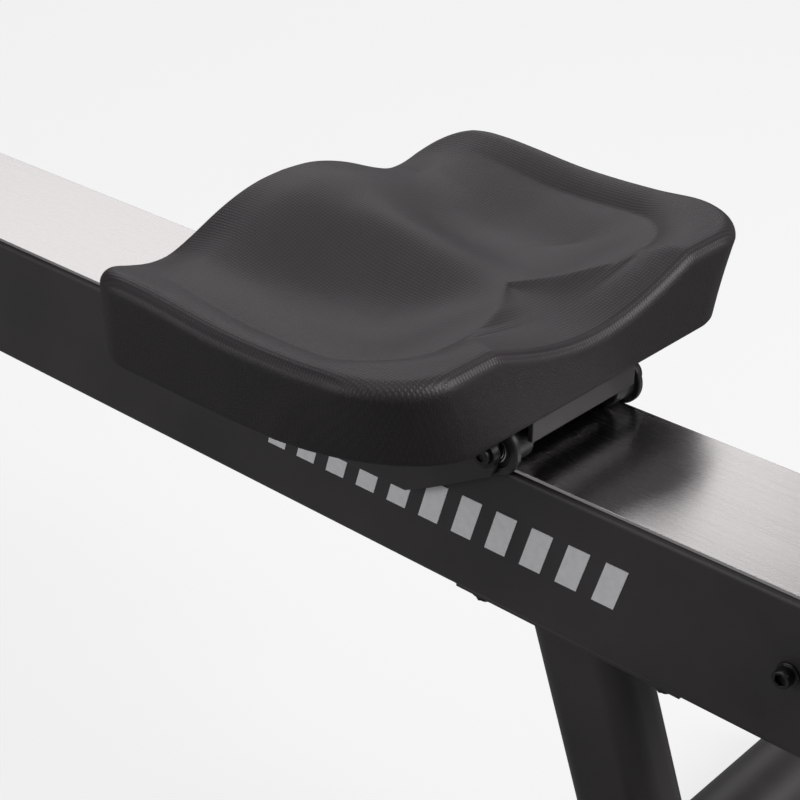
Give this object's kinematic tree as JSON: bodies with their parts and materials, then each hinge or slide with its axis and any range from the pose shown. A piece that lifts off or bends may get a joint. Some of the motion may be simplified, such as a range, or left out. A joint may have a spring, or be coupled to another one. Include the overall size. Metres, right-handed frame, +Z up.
{
  "type": "rowing machine",
  "caption": "Air rowing machine: a moulded seat rolls on a stainless track on a box beam, and a strap handle drives a caged fan at the front.",
  "frame": {"origin": "on the floor under the centre of the overall box", "axes": "+X along the rail to the rear, +Y across the machine, +Z up"},
  "size_m": [2.3999, 0.568, 1.0775],
  "materials": {
    "black_powder": "satin powder coat",
    "stainless": "lengthwise brushed",
    "black_plastic": "fine moulded grain",
    "grey_plastic": "fine moulded grain",
    "silver_print": "flat printed film",
    "black_steel": "black oxide",
    "rubber": "matte",
    "bearing_steel": "ground",
    "fan_aluminium": "mill finish",
    "webbing": "woven",
    "seat_foam": "integral skin, embossed",
    "wheel_nylon": "turned nylon",
    "screen": "clear window over a grey display"
  },
  "bodies": {
    "root": {"rail_beam": "black_powder", "rail_track": "stainless", "rail_end_cap": "black_plastic", "rail_decal": "silver_print", "rail_side_screws": "black_steel", "seat_stops": "black_powder", "stop_bumpers": "rubber", "rear_leg": "black_powder", "rear_leg_bolts": "black_steel", "rear_foot_bar": "black_powder", "rear_foot_shoes": "rubber", "front_spine": "black_powder", "front_foot_bar": "black_powder", "front_foot_shoes": "rubber", "caster_forks": "black_powder", "mast": "black_powder", "fan_forks": "black_powder", "fan_bearings": "bearing_steel", "cage_band": "black_plastic", "cage_left": "black_plastic", "cage_right": "black_plastic", "drive_plates": "black_powder", "drum_bearings": "bearing_steel", "drive_belt": "rubber", "drive_cover_left": "black_plastic", "drive_cover_right": "black_plastic", "handle_rests": "black_powder", "footrest_brackets": "black_powder", "footrest_tube": "black_powder", "foot_plates": "black_plastic", "foot_straps": "webbing"},
    "seat": {"seat_pad": "seat_foam", "seat_plate": "black_powder", "seat_axles": "black_steel", "seat_glides": "black_plastic"},
    "fan": {"fan_rotor": "fan_aluminium", "fan_shaft": "bearing_steel", "fan_pulley": "black_plastic"},
    "drum": {"strap_drum": "grey_plastic"},
    "drive_wheel": {"drive_pulley": "black_plastic"},
    "idler": {"idler_roller": "bearing_steel"},
    "handle": {"handle_bar": "black_powder", "handle_grips": "rubber", "handle_yoke": "black_plastic", "pull_strap": "webbing"},
    "heel_left": {"heel_cup_left": "black_plastic"},
    "heel_right": {"heel_cup_right": "black_plastic"},
    "arm": {"console_arm": "black_powder"},
    "console": {"console_housing": "black_plastic", "console_screen": "screen"},
    "button_1": {"button_left": "grey_plastic"},
    "button_2": {"button_middle": "grey_plastic"},
    "button_3": {"button_right": "grey_plastic"},
    "damper": {"damper": "grey_plastic"},
    "wheel_fl": {"wheel_front_left": "wheel_nylon"},
    "wheel_fr": {"wheel_front_right": "wheel_nylon"},
    "wheel_rl": {"wheel_rear_left": "wheel_nylon"},
    "wheel_rr": {"wheel_rear_right": "wheel_nylon"},
    "caster_l": {"caster_left": "rubber"},
    "caster_r": {"caster_right": "rubber"}
  },
  "joints": [
    {"name": "seat_slide", "type": "slide", "parent": "root", "child": "seat", "axis": [1, 0, 0], "range_m": [-0.905, 0.163]},
    {"name": "wheel_fl_spin", "type": "hinge", "parent": "seat", "child": "wheel_fl", "pos_m": [0.757, -0.045, 0.3415], "axis": [0, 1, 0], "continuous": true},
    {"name": "wheel_fr_spin", "type": "hinge", "parent": "seat", "child": "wheel_fr", "pos_m": [0.757, 0.045, 0.3415], "axis": [0, 1, 0], "continuous": true},
    {"name": "wheel_rl_spin", "type": "hinge", "parent": "seat", "child": "wheel_rl", "pos_m": [0.947, -0.045, 0.3415], "axis": [0, 1, 0], "continuous": true},
    {"name": "wheel_rr_spin", "type": "hinge", "parent": "seat", "child": "wheel_rr", "pos_m": [0.947, 0.045, 0.3415], "axis": [0, 1, 0], "continuous": true},
    {"name": "fan_spin", "type": "hinge", "parent": "root", "child": "fan", "pos_m": [-0.93, 0, 0.43], "axis": [0, 1, 0], "continuous": true},
    {"name": "drive_wheel_spin", "type": "hinge", "parent": "root", "child": "drive_wheel", "pos_m": [-0.568, 0, 0.56], "axis": [0, 1, 0], "continuous": true},
    {"name": "handle_pull", "type": "slide", "parent": "root", "child": "handle", "axis": [1, 0, 0], "range_m": [0, 1.2], "deforming": ["pull_strap"]},
    {"name": "drum_spin", "type": "hinge", "parent": "root", "child": "drum", "pos_m": [-0.568, 0, 0.56], "axis": [0, 1, 0], "continuous": true},
    {"name": "idler_spin", "type": "hinge", "parent": "root", "child": "idler", "pos_m": [-0.482, 0, 0.5812], "axis": [0, 1, 0], "continuous": true},
    {"name": "heel_left_slide", "type": "slide", "parent": "root", "child": "heel_left", "axis": [-0.6428, 0, 0.766], "range_m": [0, 0.06]},
    {"name": "heel_right_slide", "type": "slide", "parent": "root", "child": "heel_right", "axis": [-0.6428, 0, 0.766], "range_m": [0, 0.06]},
    {"name": "console_arm_fold", "type": "hinge", "parent": "root", "child": "arm", "pos_m": [-0.594, 0, 0.657], "axis": [0, 1, 0], "range_deg": [-12, 30]},
    {"name": "console_tilt", "type": "hinge", "parent": "arm", "child": "console", "pos_m": [-0.53163, 0, 0.95044], "axis": [0, 1, 0], "range_deg": [-20, 15]},
    {"name": "button_1_press", "type": "slide", "parent": "console", "child": "button_1", "axis": [-0.9272, 0, -0.3746], "range_m": [0, 0.0015], "stiffness_N_per_m": 300},
    {"name": "button_2_press", "type": "slide", "parent": "console", "child": "button_2", "axis": [-0.9272, 0, -0.3746], "range_m": [0, 0.0015], "stiffness_N_per_m": 300},
    {"name": "button_3_press", "type": "slide", "parent": "console", "child": "button_3", "axis": [-0.9272, 0, -0.3746], "range_m": [0, 0.0015], "stiffness_N_per_m": 300},
    {"name": "damper_turn", "type": "hinge", "parent": "root", "child": "damper", "pos_m": [-0.93, 0, 0.43], "axis": [0, 1, 0], "range_deg": [0, 40]},
    {"name": "caster_l_roll", "type": "hinge", "parent": "root", "child": "caster_l", "pos_m": [-1.058, -0.202, 0.038], "axis": [0, 1, 0], "continuous": true},
    {"name": "caster_r_roll", "type": "hinge", "parent": "root", "child": "caster_r", "pos_m": [-1.058, 0.202, 0.038], "axis": [0, 1, 0], "continuous": true}
  ],
  "couplings": [
    {"joint": "wheel_fl_spin", "follows": "seat_slide", "rad_per_m": 89.286},
    {"joint": "wheel_fr_spin", "follows": "seat_slide", "rad_per_m": 89.286},
    {"joint": "wheel_rl_spin", "follows": "seat_slide", "rad_per_m": 89.286},
    {"joint": "wheel_rr_spin", "follows": "seat_slide", "rad_per_m": 89.286},
    {"joint": "drum_spin", "follows": "handle_pull", "rad_per_m": 28.571},
    {"joint": "idler_spin", "follows": "handle_pull", "rad_per_m": 83.333},
    {"joint": "drive_wheel_spin", "follows": "fan_spin", "ratio": 0.3333}
  ]
}
